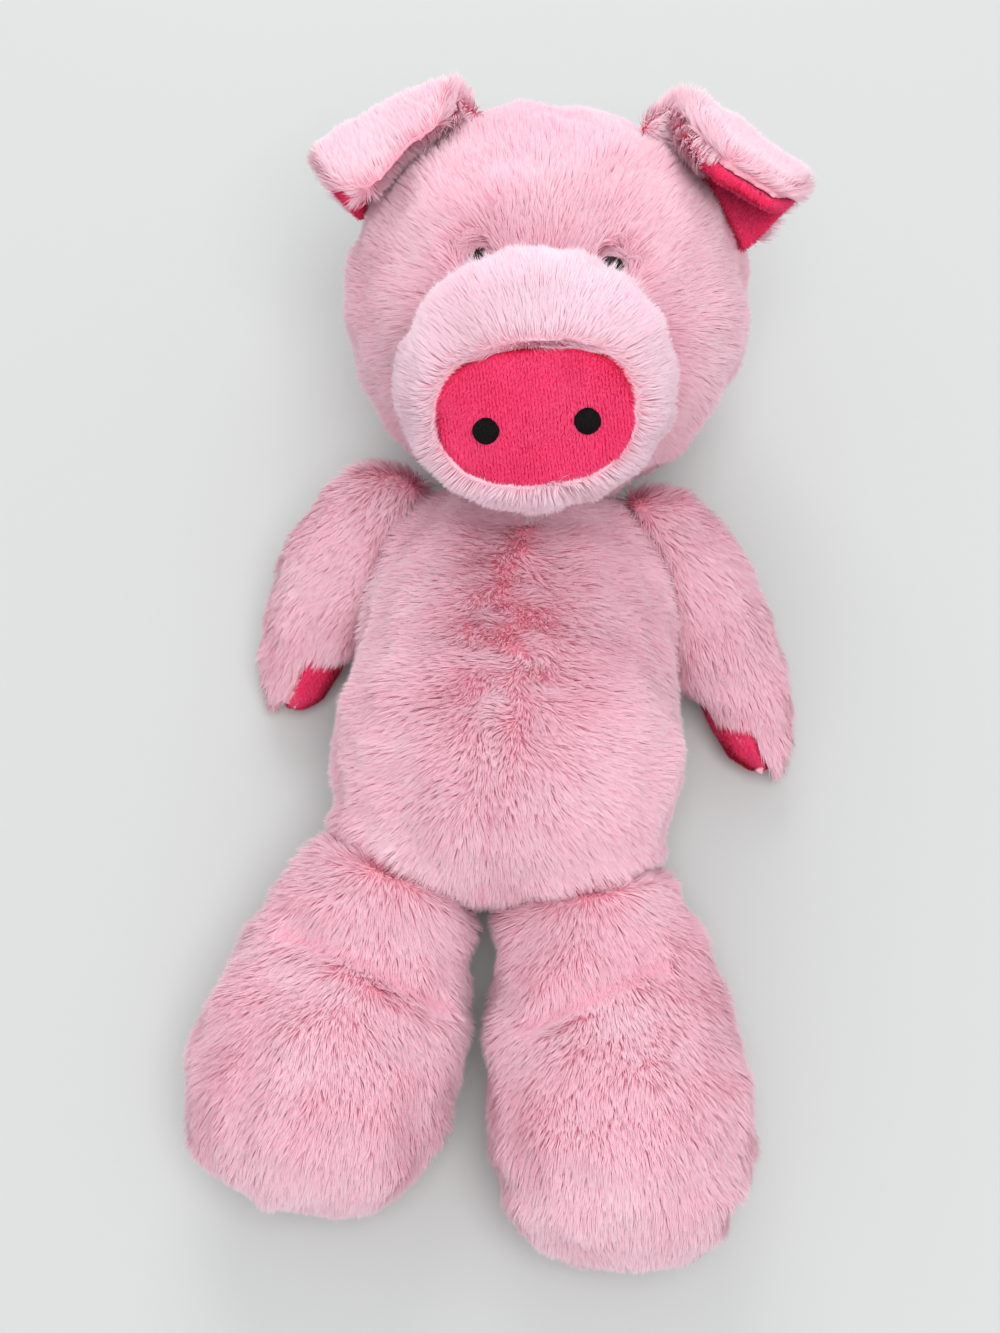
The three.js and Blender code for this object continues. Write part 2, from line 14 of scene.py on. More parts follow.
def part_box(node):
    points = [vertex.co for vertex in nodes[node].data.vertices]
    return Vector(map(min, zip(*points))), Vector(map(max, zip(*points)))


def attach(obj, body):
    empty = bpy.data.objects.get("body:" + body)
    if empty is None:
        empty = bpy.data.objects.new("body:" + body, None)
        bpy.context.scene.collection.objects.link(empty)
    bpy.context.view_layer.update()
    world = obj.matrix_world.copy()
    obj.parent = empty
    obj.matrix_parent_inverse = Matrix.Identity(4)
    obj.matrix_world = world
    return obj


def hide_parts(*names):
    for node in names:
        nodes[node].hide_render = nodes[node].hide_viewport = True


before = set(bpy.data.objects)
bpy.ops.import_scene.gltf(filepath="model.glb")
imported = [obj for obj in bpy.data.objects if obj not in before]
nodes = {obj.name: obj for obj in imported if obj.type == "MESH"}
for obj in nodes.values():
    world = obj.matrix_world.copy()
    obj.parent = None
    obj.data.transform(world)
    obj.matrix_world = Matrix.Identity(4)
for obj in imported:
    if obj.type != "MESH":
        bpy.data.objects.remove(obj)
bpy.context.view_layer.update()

MM = 0.001
MAP_NAME = "OFBake"  # the UV map that tells a strand's tone and the place along it
SIDES = (("left", 1), ("right", -1))  # the pig's own sides, and the sign of X there

# Camera, at the photograph's viewing angle

VIEW_AZIMUTH = math.radians(5)
VIEW_ELEVATION = math.radians(70)
VIEW_DISTANCE = 500
VIEW_TARGET = Vector((-4.2, 0, 40))
VIEW_FOV = math.radians(40)

back = Vector((
    math.sin(VIEW_AZIMUTH) * math.cos(VIEW_ELEVATION),
    -math.cos(VIEW_AZIMUTH) * math.cos(VIEW_ELEVATION),
    math.sin(VIEW_ELEVATION),
))
right = Vector((math.cos(VIEW_AZIMUTH), math.sin(VIEW_AZIMUTH), 0))
camera = bpy.data.objects.new("camera", bpy.data.cameras.new("camera"))
camera.data.sensor_fit = "VERTICAL"
camera.data.angle = VIEW_FOV
camera.data.clip_start = 0.01
camera.data.clip_end = 20
turn = Matrix((right, back.cross(right), back)).transposed()
camera.matrix_world = Matrix.Translation((VIEW_TARGET + back * VIEW_DISTANCE) * MM) @ turn.to_4x4()
bpy.context.scene.collection.objects.link(camera)
bpy.context.scene.camera = camera


# Numbers


def unit(vectors):
    """The directions of some vectors."""
    length = np.linalg.norm(vectors, axis=-1, keepdims=True)
    return vectors / np.maximum(length, 1e-9)


def dot(a, b):
    """The scalar product of each pair of rows, as a column."""
    return (a * b).sum(-1, keepdims=True)


def waves(at, size, seed, count=16):
    """Smooth noise about 0, mostly from -1 to 1, whose bumps are about `size` mm apart."""
    rng = np.random.default_rng(seed)
    ways = unit(rng.normal(size=(count, 3))) * (2 * np.pi / size)
    ways *= rng.uniform(0.6, 1.5, (count, 1))
    phases = rng.uniform(0, 2 * np.pi, count)
    return np.sin(at @ ways.T + phases).sum(1) / math.sqrt(count)


def smoothstep(value, low, high):
    """Rises smoothly from 0 at `low` to 1 at `high`."""
    share = ((value - low) / (high - low)).clip(0, 1)
    return share * share * (3 - 2 * share)


def peak(distance, width):
    """1 at no distance, falling off over `width`."""
    return np.exp(-((distance / width) ** 2))


def nearest_on(at, line):
    """The point of a straight line, given by its two ends, that is nearest to each of `at`."""
    start, end = np.array(line, float)
    along = end - start
    share = ((at - start) @ along / (along @ along)).clip(0, 1)
    return start + share[:, None] * along


def distance_to(at, line):
    return np.linalg.norm(at - nearest_on(at, line), axis=1)


def distance_beside(at, line):
    """How far each point lies from a line, seen from above."""
    return np.linalg.norm((at - nearest_on(at, line))[:, :2], axis=1)


# Meshes


def mesh_of(name, points, faces, uv=None, normals=None):
    """A new smooth mesh from points in mm and faces that all have the same number of corners."""
    mesh = bpy.data.meshes.new(name)
    corners = faces.shape[1]
    mesh.vertices.add(len(points))
    mesh.vertices.foreach_set("co", (points * MM).astype(np.float32).ravel())
    mesh.loops.add(faces.size)
    mesh.loops.foreach_set("vertex_index", faces.astype(np.int32).ravel())
    mesh.polygons.add(len(faces))
    mesh.polygons.foreach_set("loop_start", np.arange(len(faces), dtype=np.int32) * corners)
    mesh.polygons.foreach_set("use_smooth", np.ones(len(faces), bool))
    mesh.update(calc_edges=True)
    if uv is not None:
        layer = mesh.uv_layers.new(name=MAP_NAME)
        layer.uv.foreach_set("vector", uv[faces.ravel()].astype(np.float32).ravel())
    if normals is not None:
        mesh.normals_split_custom_set_from_vertices(normals.astype(np.float32))
    return mesh


def object_of(mesh):
    made = bpy.data.objects.new(mesh.name, mesh)
    bpy.context.scene.collection.objects.link(made)
    return made


def cad_mesh(names):
    """The points, in mm, and the triangles of some CAD nodes, as one mesh."""
    points, faces, first = [], [], 0
    for name in names:
        mesh = nodes[name].data
        mesh.calc_loop_triangles()
        co = np.empty(3 * len(mesh.vertices), np.float32)
        mesh.vertices.foreach_get("co", co)
        tri = np.empty(3 * len(mesh.loop_triangles), np.int32)
        mesh.loop_triangles.foreach_get("vertices", tri)
        points.append(co.reshape(-1, 3) / MM)
        faces.append(tri.reshape(-1, 3) + first)
        first += len(mesh.vertices)
    return np.concatenate(points).astype(float), np.concatenate(faces)


def tree_of(*names):
    """A search tree over the surfaces of some CAD nodes."""
    points, faces = cad_mesh(names)
    return BVHTree.FromPolygons(points.tolist(), faces.tolist())


def remeshed(name, points, faces, voxel):
    """The points and quads of one closed skin round a set of solids."""
    source = object_of(mesh_of(name + "_source", points, faces))
    modifier = source.modifiers.new("voxels", "REMESH")
    modifier.mode = "VOXEL"
    modifier.voxel_size = voxel * MM
    deps = bpy.context.evaluated_depsgraph_get()
    made = bpy.data.meshes.new_from_object(source.evaluated_get(deps))
    co = np.empty(3 * len(made.vertices), np.float32)
    made.vertices.foreach_get("co", co)
    quads = np.empty(len(made.loops), np.int32)
    made.loops.foreach_get("vertex_index", quads)
    old = source.data
    bpy.data.objects.remove(source)
    bpy.data.meshes.remove(old)
    bpy.data.meshes.remove(made)
    return co.reshape(-1, 3).astype(float) / MM, quads.reshape(-1, 4)


SMOOTH_IN, SMOOTH_OUT = 0.55, -0.57  # a step towards the neighbours, and one back that keeps the volume


def eased(points, quads, rounds):
    """Points smoothed along their edges, and kept from shrinking."""
    pairs = np.concatenate([quads[:, [k, (k + 1) % 4]] for k in range(4)])
    pairs = np.unique(np.sort(pairs, axis=1), axis=0)
    both_ways = np.concatenate([pairs, pairs[:, ::-1]])
    degree = np.bincount(both_ways[:, 0], minlength=len(points))[:, None]
    points = points.copy()
    for _ in range(rounds):
        for step in (SMOOTH_IN, SMOOTH_OUT):
            near = points[both_ways[:, 1]]
            sums = [np.bincount(both_ways[:, 0], near[:, k], len(points)) for k in range(3)]
            points += step * (np.stack(sums, 1) / np.maximum(degree, 1) - points)
    return points


def normals_of(points, quads):
    """The normals at the corners of a mesh of quads."""
    across = points[quads[:, 2]] - points[quads[:, 0]]
    upward = points[quads[:, 3]] - points[quads[:, 1]]
    faces = np.cross(across, upward)
    total = np.zeros_like(points)
    for k in range(4):
        for axis in range(3):
            total[:, axis] += np.bincount(quads[:, k], faces[:, axis], len(points))
    return unit(total)


# Materials


def material(name, roughness, sheen, specular):
    made = bpy.data.materials.new(name)
    made.use_nodes = True
    shader = made.node_tree.nodes["Principled BSDF"]
    shader.inputs["Roughness"].default_value = roughness
    shader.inputs["Specular IOR Level"].default_value = specular
    shader.inputs["Sheen Weight"].default_value = sheen
    shader.inputs["Sheen Roughness"].default_value = 0.5
    return made, made.node_tree, shader


def add(tree, kind, **values):
    node = tree.nodes.new(kind)
    for key, value in values.items():
        setattr(node, key, value)
    return node


def texture_of(tree, kind, scale):
    """A texture laid over the object, with about `scale` cells to the metre."""
    place = add(tree, "ShaderNodeTexCoord")
    texture = add(tree, kind)
    texture.inputs["Scale"].default_value = scale
    tree.links.new(place.outputs["Object"], texture.inputs["Vector"])
    return texture


def ramp_of(tree, source, stops):
    """A colour that follows `stops`, pairs of a value of `source` and a colour."""
    ramp = add(tree, "ShaderNodeValToRGB")
    elements = ramp.color_ramp.elements
    for element, (place, colour) in zip((elements[0], elements[1]), (stops[0], stops[-1])):
        element.position = place
        element.color = (*colour, 1)
    for place, colour in stops[1:-1]:
        elements.new(place).color = (*colour, 1)
    tree.links.new(source, ramp.inputs["Fac"])
    return ramp.outputs["Color"]


def mix_of(tree, factor, a, b):
    """The mix of two colours."""
    mix = add(tree, "ShaderNodeMix", data_type="RGBA", blend_type="MIX")
    for socket, value in zip((mix.inputs[0], mix.inputs[6], mix.inputs[7]), (factor, a, b)):
        tree.links.new(value, socket)
    return mix.outputs[2]


def strand_material(name, deep, pale, roughness, sheen, specular, through=0.0):
    """Fibres whose colour runs from a root partly darkened by painted shade to a tip partly lightened by a
    painted sheen, and that let some of the light through.
    """
    made, tree, shader = material(name, roughness, sheen, specular)
    where = add(tree, "ShaderNodeUVMap", uv_map=MAP_NAME)
    split = add(tree, "ShaderNodeSeparateXYZ")
    tree.links.new(where.outputs["UV"], split.inputs[0])
    tone, along = split.outputs["X"], split.outputs["Y"]
    colour = mix_of(tree, tone, ramp_of(tree, along, deep), ramp_of(tree, along, pale))
    tree.links.new(colour, shader.inputs["Base Color"])
    if through:
        behind = add(tree, "ShaderNodeBsdfTranslucent")
        tree.links.new(colour, behind.inputs["Color"])
        mix = add(tree, "ShaderNodeMixShader")
        mix.inputs["Fac"].default_value = through
        tree.links.new(shader.outputs["BSDF"], mix.inputs[1])
        tree.links.new(behind.outputs["BSDF"], mix.inputs[2])
        tree.links.new(mix.outputs["Shader"], tree.nodes["Material Output"].inputs["Surface"])
    return made


def cloth_material(name, dark, light, scale, roughness, bump):
    """A backing cloth: mottled colour and a knitted relief."""
    made, tree, shader = material(name, roughness, 0.2, 0.2)
    blotch = texture_of(tree, "ShaderNodeTexNoise", scale)
    blotch.inputs["Detail"].default_value = 4
    fine = texture_of(tree, "ShaderNodeTexVoronoi", scale * 12)
    colour = ramp_of(tree, blotch.outputs["Fac"], [(0.35, dark), (0.65, light)])
    tree.links.new(colour, shader.inputs["Base Color"])
    relief = add(tree, "ShaderNodeBump")
    relief.inputs["Strength"].default_value = bump
    relief.inputs["Distance"].default_value = 0.5 * MM
    tree.links.new(fine.outputs["Distance"], relief.inputs["Height"])
    tree.links.new(relief.outputs["Normal"], shader.inputs["Normal"])
    return made


def thread_material(name, dark, light):
    """Embroidery thread, a little uneven in its colour."""
    made, tree, shader = material(name, 0.85, 0, 0.12)
    noise = texture_of(tree, "ShaderNodeTexNoise", 2500)
    colour = ramp_of(tree, noise.outputs["Fac"], [(0.35, dark), (0.7, light)])
    tree.links.new(colour, shader.inputs["Base Color"])
    return made


def plastic(name, dark, light, roughness, mottle):
    """Moulded plastic: faintly mottled, with fine wear in its gloss."""
    made, tree, shader = material(name, roughness, 0, 0.5)
    noise = texture_of(tree, "ShaderNodeTexNoise", mottle)
    colour = ramp_of(tree, noise.outputs["Fac"], [(0.3, dark), (0.7, light)])
    tree.links.new(colour, shader.inputs["Base Color"])
    wear = add(tree, "ShaderNodeMapRange")
    wear.inputs["To Min"].default_value = roughness
    wear.inputs["To Max"].default_value = roughness + 0.12
    tree.links.new(noise.outputs["Fac"], wear.inputs["Value"])
    tree.links.new(wear.outputs["Result"], shader.inputs["Roughness"])
    return made


# Each ramp runs from a blade's root to its tip: the deeper roots are partly the fibres' own colour and partly
# painted shade deep in the pile, and the paler tips are partly a painted sheen.
PINK_DEEP = [
    (0.0, (0.86, 0.26, 0.38)),
    (0.4, (0.93, 0.42, 0.54)),
    (0.8, (0.95, 0.55, 0.66)),
    (1.0, (0.96, 0.62, 0.72)),
]
PINK_PALE = [
    (0.0, (0.94, 0.46, 0.57)),
    (0.35, (0.97, 0.64, 0.73)),
    (0.75, (0.98, 0.76, 0.83)),
    (1.0, (0.98, 0.85, 0.9)),
]
SNOUT_DEEP = [
    (0.0, (0.9, 0.4, 0.52)),
    (0.4, (0.93, 0.56, 0.66)),
    (0.8, (0.94, 0.65, 0.74)),
    (1.0, (0.95, 0.7, 0.78)),
]
SNOUT_PALE = [
    (0.0, (0.94, 0.58, 0.68)),
    (0.35, (0.96, 0.72, 0.8)),
    (0.75, (0.97, 0.8, 0.87)),
    (1.0, (0.97, 0.86, 0.92)),
]
FUCHSIA_DEEP = [(0.0, (0.78, 0.012, 0.07)), (0.6, (0.88, 0.028, 0.12)), (1.0, (0.93, 0.05, 0.17))]
FUCHSIA_PALE = [(0.0, (0.88, 0.024, 0.12)), (0.6, (0.96, 0.07, 0.21)), (1.0, (0.98, 0.14, 0.3))]

Coat = namedtuple("Coat", "slot fur backing")  # the name of a plush, and the finishes of its two layers

PINK = Coat("pink_fur",
            strand_material("pink_plush", PINK_DEEP, PINK_PALE, 0.85, 0.03, 0.12, 0.25),
            cloth_material("pink_backing", (0.92, 0.38, 0.49), (0.95, 0.48, 0.57), 90, 0.95, 0.4))
PALE = Coat("pale_fur",
            strand_material("pale_plush", SNOUT_DEEP, SNOUT_PALE, 0.8, 0.03, 0.15, 0.25),
            cloth_material("pale_backing", (0.92, 0.5, 0.6), (0.95, 0.64, 0.72), 90, 0.95, 0.4))
VELBOA = Coat("fuchsia_velboa",
              strand_material("fuchsia_nap", FUCHSIA_DEEP, FUCHSIA_PALE, 0.85, 0.03, 0.12),
              cloth_material("fuchsia_backing", (0.78, 0.015, 0.08), (0.88, 0.03, 0.13), 160, 0.9, 0.5))
THREAD = thread_material("black_thread", (0.002, 0.002, 0.002), (0.01, 0.008, 0.009))
EYE_PLASTIC = plastic("eye_plastic", (0.004, 0.003, 0.004), (0.012, 0.009, 0.01), 0.3, 300)
WASHER_PLASTIC = plastic("washer_plastic", (0.72, 0.73, 0.74), (0.84, 0.85, 0.86), 0.35, 150)
STUFFING = cloth_material("stuffing", (0.78, 0.77, 0.74), (0.93, 0.92, 0.9), 60, 1.0, 1.0)
POUCH_COTTON = cloth_material("pouch_cotton", (0.72, 0.68, 0.58), (0.84, 0.8, 0.71), 200, 0.9, 0.6)


# Skins

FAR_OUTSIDE = -99.0  # the depth of a point that lies nowhere near
BACKING_REST = 0.4  # the least height of a backing above the surface under the toy


class Skin:
    """A smooth closed skin round the solids of some CAD nodes, set in from them by `inset`.

    `bend` moves its points first, and `shape` pushes them out along their normals.
    """

    def __init__(self, name, names, inset, voxel, rounds, shape=None, bend=None):
        points, faces = cad_mesh(names)
        points, self.quads = remeshed(name, points, faces, voxel)
        if bend is not None:
            points = bend(points)
        points = eased(points, self.quads, rounds)
        normals = normals_of(points, self.quads)
        if shape is not None:
            points = points + normals * shape(points, normals)[:, None]
        points = points - normals_of(points, self.quads) * inset
        self.name = name
        self.points = eased(points, self.quads, 2)
        self.points[:, 2] = np.maximum(self.points[:, 2], BACKING_REST)
        self.normals = normals_of(self.points, self.quads)
        self.triangles = np.concatenate([self.quads[:, [0, 1, 2]], self.quads[:, [0, 2, 3]]])
        self.tree = BVHTree.FromPolygons(self.points.tolist(), self.quads.tolist())

    def show(self, body, coat, replaced, fill):
        """Shows the skin as the backing of a coat, in the place of some CAD nodes."""
        made = object_of(mesh_of(self.name, self.points, self.quads))
        made.data.materials.append(coat.backing)
        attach(made, body)
        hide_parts(*replaced)

    def depth(self, at):
        """How deep each point lies inside the skin, in mm: negative outside it."""
        low, high = self.points.min(0) - 2, self.points.max(0) + 2
        found = np.full(len(at), FAR_OUTSIDE)
        for k in np.flatnonzero(((at > low) & (at < high)).all(1)):
            spot = Vector(at[k])
            near, normal, _, distance = self.tree.find_nearest(spot)
            found[k] = distance if (spot - near).dot(normal) < 0 else -distance
        return found


# Fur, as blades of real geometry

BLADE_SHARES = (0, 0.55, 1)  # the places along a blade that have corners, and its width there
BLADE_TAPER = (1, 0.8, 0)
COVER_REACH = 8  # a blade is left out where a solid that it mustn't grow through is this near above its root
SUNK_SHORT, SUNK_OUT = 3, 10  # blades are shorter from this deep inside another skin, and left out from there
LEAN_LIMITS = (0.08, 1.3)
FUR_REST = 0.3  # the least height of a blade above the surface under the toy

# density is in blades per square mm, lengths are in mm and angles in radians. A pile's flow swirls by
# `swirl` over `swirl_size`, and each blade strays by `stray`. Tufts stand `tuft` apart, turn by `tuft_turn`
# and draw their blades together by `pull`. `lift` turns the shading upwards.
LONG_PILE = {
    "density": 8, "length": 6.4, "width": 0.25, "uneven": 0.05,
    "lean": 0.85, "lean_noise": 0.08, "swirl": 0.2, "swirl_size": 34, "stray": 0.1,
    "tuft": 1.4, "tuft_turn": 0.17, "tuft_tone": 0.06, "pull": 0.45, "tone": 0.5, "lift": 0.15,
}
SHORT_PILE = {
    "density": 16, "length": 1.4, "width": 0.26, "uneven": 0.12,
    "lean": 0.75, "lean_noise": 0.12, "swirl": 0.3, "swirl_size": 18, "stray": 0.22,
    "tuft": 0.9, "tuft_turn": 0.25, "tuft_tone": 0.1, "pull": 0.35, "tone": 0.5, "lift": 0,
}


def scatter(skin, density, part, rng):
    """Evenly spread random places on the part of a skin: where they are, and the normals there."""
    corners = skin.points[skin.triangles]
    chosen = part(corners.mean(1)) if part else np.ones(len(corners), bool)
    corners = corners[chosen]
    normals = skin.normals[skin.triangles[chosen]]
    crosses = np.cross(corners[:, 1] - corners[:, 0], corners[:, 2] - corners[:, 0])
    areas = np.linalg.norm(crosses, axis=1) / 2
    total = np.cumsum(areas)
    count = int(total[-1] * density)
    pick = np.searchsorted(total, (np.arange(count) + rng.random(count)) / count * total[-1])
    pick = pick.clip(0, len(areas) - 1)
    u, v = rng.random((2, count))
    over = u + v > 1
    u[over], v[over] = 1 - u[over], 1 - v[over]
    weights = np.stack([1 - u - v, u, v], 1)[:, :, None]
    return (corners[pick] * weights).sum(1), unit((normals[pick] * weights).sum(1))


def uncovered(root, normal, bare):
    """Which roots are free of the solids in `bare`, pairs of a search tree and the distance to keep."""
    keep = np.ones(len(root), bool)
    for tree, distance in bare:
        for k in np.flatnonzero(keep):
            spot, way = Vector(root[k]), Vector(normal[k])
            covered = tree.ray_cast(spot, way, COVER_REACH)[0] or tree.find_nearest(spot, distance)[0]
            keep[k] = covered is None
    return keep


def in_rows(at, across, pitch, pull):
    """Points drawn towards rows that lie `pitch` apart along `across`."""
    place = at @ across
    return at + ((np.round(place / pitch) * pitch - place) * pull)[:, None] * across


def tuft_of(root, tuft):
    """The nearest tuft to each root."""
    tree = KDTree(len(tuft))
    for k, spot in enumerate(tuft):
        tree.insert(spot, k)
    tree.balance()
    return np.array([tree.find(spot)[1] for spot in root])


def swung(way, normal, angle):
    """Ways turned about their normals."""
    angle = angle[:, None]
    return way * np.cos(angle) + np.cross(normal, way) * np.sin(angle)


def combed(at, normal, look, flow, lean, seed, turn, tilt):
    """The way that the fur lies at each point, and its angle from the normal there."""
    way = flow(at)
    way = unit(way - dot(way, normal) * normal)
    swirl = look["swirl"] * waves(at, look["swirl_size"], seed + 1)
    over = np.full(len(at), look["lean"]) if lean is None else lean(at, normal)
    over = over + look["lean_noise"] * waves(at, look["swirl_size"] * 0.7, seed + 2)
    return swung(way, normal, swirl + turn), (over + tilt).clip(*LEAN_LIMITS)


def bent(root, normal, way, lean, length, share):
    """A point of a blade that leaves its root steeply and bends over along `way`."""
    start, end = lean * 0.62, lean * 1.25
    first = normal * np.cos(start)[:, None] + way * np.sin(start)[:, None]
    last = normal * np.cos(end)[:, None] + way * np.sin(end)[:, None]
    return root + length[:, None] * (first * share + (last - first) * share**2 / 2)


def blades(name, places, normal, hue, twist, width, lift):
    """A mesh of flat blades through `places`, which holds their points from root to tip."""
    points, shading, uv = [], [], []
    for k, (share, taper) in enumerate(zip(BLADE_SHARES, BLADE_TAPER)):
        ahead = unit(places[min(k + 1, len(places) - 1)] - places[max(k - 1, 0)])
        side = unit(np.cross(ahead, normal) + 1e-6)
        outward = unit(np.cross(side, ahead))
        side = side * np.cos(twist)[:, None] + outward * np.sin(twist)[:, None]
        face = unit(outward * 0.3 + normal * 0.7) + np.array([0, 0, lift])
        for sign in (-1, 1) if taper else (0,):
            points.append(places[k] + side * (sign * width * taper / 2))
            shading.append(unit(face + side * (sign * 0.25)))
            uv.append(np.stack([hue + sign * 0.002, np.full(len(hue), 0.01 + 0.98 * share)], 1))
    corners = len(points)
    pattern = []
    for a in range(0, corners - 3, 2):
        pattern += [(a, a + 1, a + 3), (a, a + 3, a + 2)]
    pattern.append((corners - 3, corners - 2, corners - 1))
    faces = (np.array(pattern)[None] + np.arange(len(hue))[:, None, None] * corners).reshape(-1, 3)
    points = np.stack(points, 1).reshape(-1, 3)
    shading = np.stack(shading, 1).reshape(-1, 3)
    return mesh_of(name, points, faces, np.stack(uv, 1).reshape(-1, 2), shading)


def grow(name, skin, body, coat, look, flow, seed,
         part=None, tone=None, lean=None, trim=None, bare=(), within=()):
    """Fur on a skin: blades that lie along `flow` and are drawn together in tufts.

    `part` picks the points of the skin that it grows on, and `tone`, `lean` and `trim` vary its colour,
    its slope and its length. It leaves out what `bare` covers and what is deep in the skins of `within`.
    """
    rng = np.random.default_rng(seed)
    density = look["density"] * 1
    root, normal = scatter(skin, density, part, rng)
    free = uncovered(root, normal, bare)
    root, normal = root[free], normal[free]
    length = np.full(len(root), float(look["length"]))
    for other in within:
        depth = other.depth(root)
        length *= 1 - 0.8 * smoothstep(depth, SUNK_SHORT, SUNK_OUT)
        inside = depth < SUNK_OUT
        root, normal, length = root[inside], normal[inside], length[inside]
    if "rows" in look:
        root = in_rows(root, *look["rows"])
    count = len(root)
    tuft, tuft_normal = scatter(skin, 1 / look["tuft"] ** 2, part, rng)
    owner = tuft_of(root + rng.normal(size=root.shape) * look["tuft"] * 0.18, tuft)

    tuft_turn = rng.normal(size=len(tuft)) * look["tuft_turn"]
    turn = rng.normal(size=count) * look["stray"]
    tilt = rng.normal(size=count) * look["stray"] * 0.6
    way, over = combed(root, normal, look, flow, lean, seed, turn, tilt)
    length *= 1 + 0.1 * waves(root, 14, seed + 3) + rng.normal(size=count) * look["uneven"]
    if trim is not None:
        length *= trim(root, normal)
    tuft_tilt = rng.normal(size=len(tuft)) * look["tuft_turn"] * 0.5
    tuft_way, tuft_over = combed(tuft, tuft_normal, look, flow, lean, seed, tuft_turn, tuft_tilt)
    pull = look["pull"] * rng.uniform(0.6, 1.2, len(tuft))

    places = []
    for share in BLADE_SHARES:
        own = bent(root, normal, way, over, length, share)
        shared = bent(tuft[owner], tuft_normal[owner], tuft_way[owner], tuft_over[owner], length, share)
        place = own + (shared - own) * (pull[owner] * share**1.4)[:, None]
        place[:, 2] = np.maximum(place[:, 2], FUR_REST + 0.5 * rng.random(count))
        places.append(place)

    hue = look["tone"] + 0.1 * waves(root, 26, seed + 4) + rng.normal(size=count) * 0.07
    hue += (rng.normal(size=len(tuft)) * look["tuft_tone"])[owner]
    if tone is not None:
        hue += tone(root, normal)
    twist = rng.normal(size=count) * 0.2
    made = object_of(blades(name, places, normal, hue.clip(0.03, 0.97), twist, look["width"], look["lift"]))
    made.data.materials.append(coat.fur)
    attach(made, body)


# The face's own directions: OUT runs through the nose, and CROWN up the face

FACE_ELEVATION = math.radians(52)
OUT = np.array([0, -math.cos(FACE_ELEVATION), math.sin(FACE_ELEVATION)])
CROWN = np.array([0, math.sin(FACE_ELEVATION), math.cos(FACE_ELEVATION)])
HEAD_CENTRE = np.array([0, 105, 54.5])
nose_low, nose_high = (np.array(corner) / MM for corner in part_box("nose_pad"))
NOSE_CENTRE = (nose_low + nose_high) / 2

# The nose pad lies turned by a few degrees in the face

PAD_TURN = math.radians(10)
PAD_ACROSS = np.array([math.cos(PAD_TURN), 0, 0]) + math.sin(PAD_TURN) * CROWN
PAD_UP = np.array([-math.sin(PAD_TURN), 0, 0]) + math.cos(PAD_TURN) * CROWN
PAD_HALF = (24, 16.5)


# Shapes that push a skin out of its plain form


def plump(size, amount, seed):
    """Soft unevenness of a stuffed skin."""
    def push(points, normals):
        return amount * (waves(points, size, seed) + 0.4 * waves(points, size / 2.2, seed + 1))
    return push


def crease(line, depth, width):
    """A fold pressed into the upper side of a limb."""
    def push(points, normals):
        return -depth * peak(distance_beside(points, line), width) * smoothstep(normals[:, 2], 0, 0.5)
    return push


def ridge(line, height, width):
    """A rolled pleat along a line, with the hollow beside it."""
    def push(points, normals):
        away = distance_to(points, line) / width
        return height * (peak(away, 1) - 0.35 * peak(away - 2, 1))
    return push


def towards(names, amount, reach):
    """Fills a skin out where it lies close to some CAD nodes."""
    tree = tree_of(*names)

    def push(points, normals):
        away = np.array([tree.find_nearest(Vector(point))[3] or 99 for point in points])
        return amount * (1 - smoothstep(away, reach * 0.4, reach))
    return push


def both(*shapes):
    return lambda points, normals: sum(shape(points, normals) for shape in shapes)


# The ears. The right one mirrors the left one's seam.

EAR_SEAM = np.array([39.98, 130.25, 82.74])  # the middle of the left ear's seam, and the way that it runs
EAR_RUN = np.array([0.682, -0.576, -0.45])
EAR_FOLD_RISE = 9.5  # how far above the seam the flap folds over
EAR_FOLDED = {"left": 5, "right": 9}  # how many degrees further the fur lets a flap lie over
EAR_TURNED_OVER = {"left": -6, "right": 6}  # how far along the seam the plush is turned over the lining
EAR_FLOWS = {"left": (0.5, 1, -0.3), "right": (-0.5, 1, -0.3)}
EAR_EDGE_FLOWS = {"left": (0.9, -0.1, 0.1), "right": (-0.6, -0.7, 0)}
EAR_PLEAT = ((43, 122.6, 87), (49, 127.6, 88), (55, 128.8, 88))  # the left lining's pleat


def folded(sign, more):
    """Turns an ear's flap further over its fold."""
    mirror = np.array([sign, 1, 1])
    rise = unit(EAR_SEAM - HEAD_CENTRE)
    ahead = np.cross(EAR_RUN, rise)
    hinge = EAR_SEAM + rise * EAR_FOLD_RISE

    def bend(points):
        away = points * mirror - hinge
        along, up, forward = away @ EAR_RUN, away @ rise, away @ ahead
        turn = math.radians(more) * smoothstep(forward, 2, 10)
        up, forward = up * np.cos(turn) - forward * np.sin(turn), up * np.sin(turn) + forward * np.cos(turn)
        away = along[:, None] * EAR_RUN + up[:, None] * rise + forward[:, None] * ahead
        return (away + hinge) * mirror
    return bend


def turned_over(sign, reach, rest=False):
    """The part of an ear up to a ragged line that crosses its seam at `reach`, or the rest of it."""
    mirror = np.array([sign, 1, 1])
    return lambda at: ((at * mirror - EAR_SEAM) @ EAR_RUN + 1.5 * waves(at, 7, 9) < reach) != rest


# The stuffed bodies

BELLY_SEAM = ((-3.5, -47, 66), (-3.5, -60, 60))
LEG_CREASES = {
    "leg_right": ((-50, -77, 52), (-13, -91, 52)),
    "leg_left": ((13, -95, 50), (42, -77, 52)),
}
PANELS = ("_front", "_back")
TORSO_COATS = ["torso_back", "torso_front_left", "torso_front_right"]
HEAD_COATS = ["head_face", "head_back"]
LIMB_COATS = [limb + side + panel for limb in ("arm_", "leg_") for side, _ in SIDES for panel in PANELS]
PILE_DEPTH = 3.5  # how far the backing of long plush lies inside its solid
ARM_PILE_DEPTH = 3.2
FILL_OUT = 2.6  # how much of that depth is given back at a seam

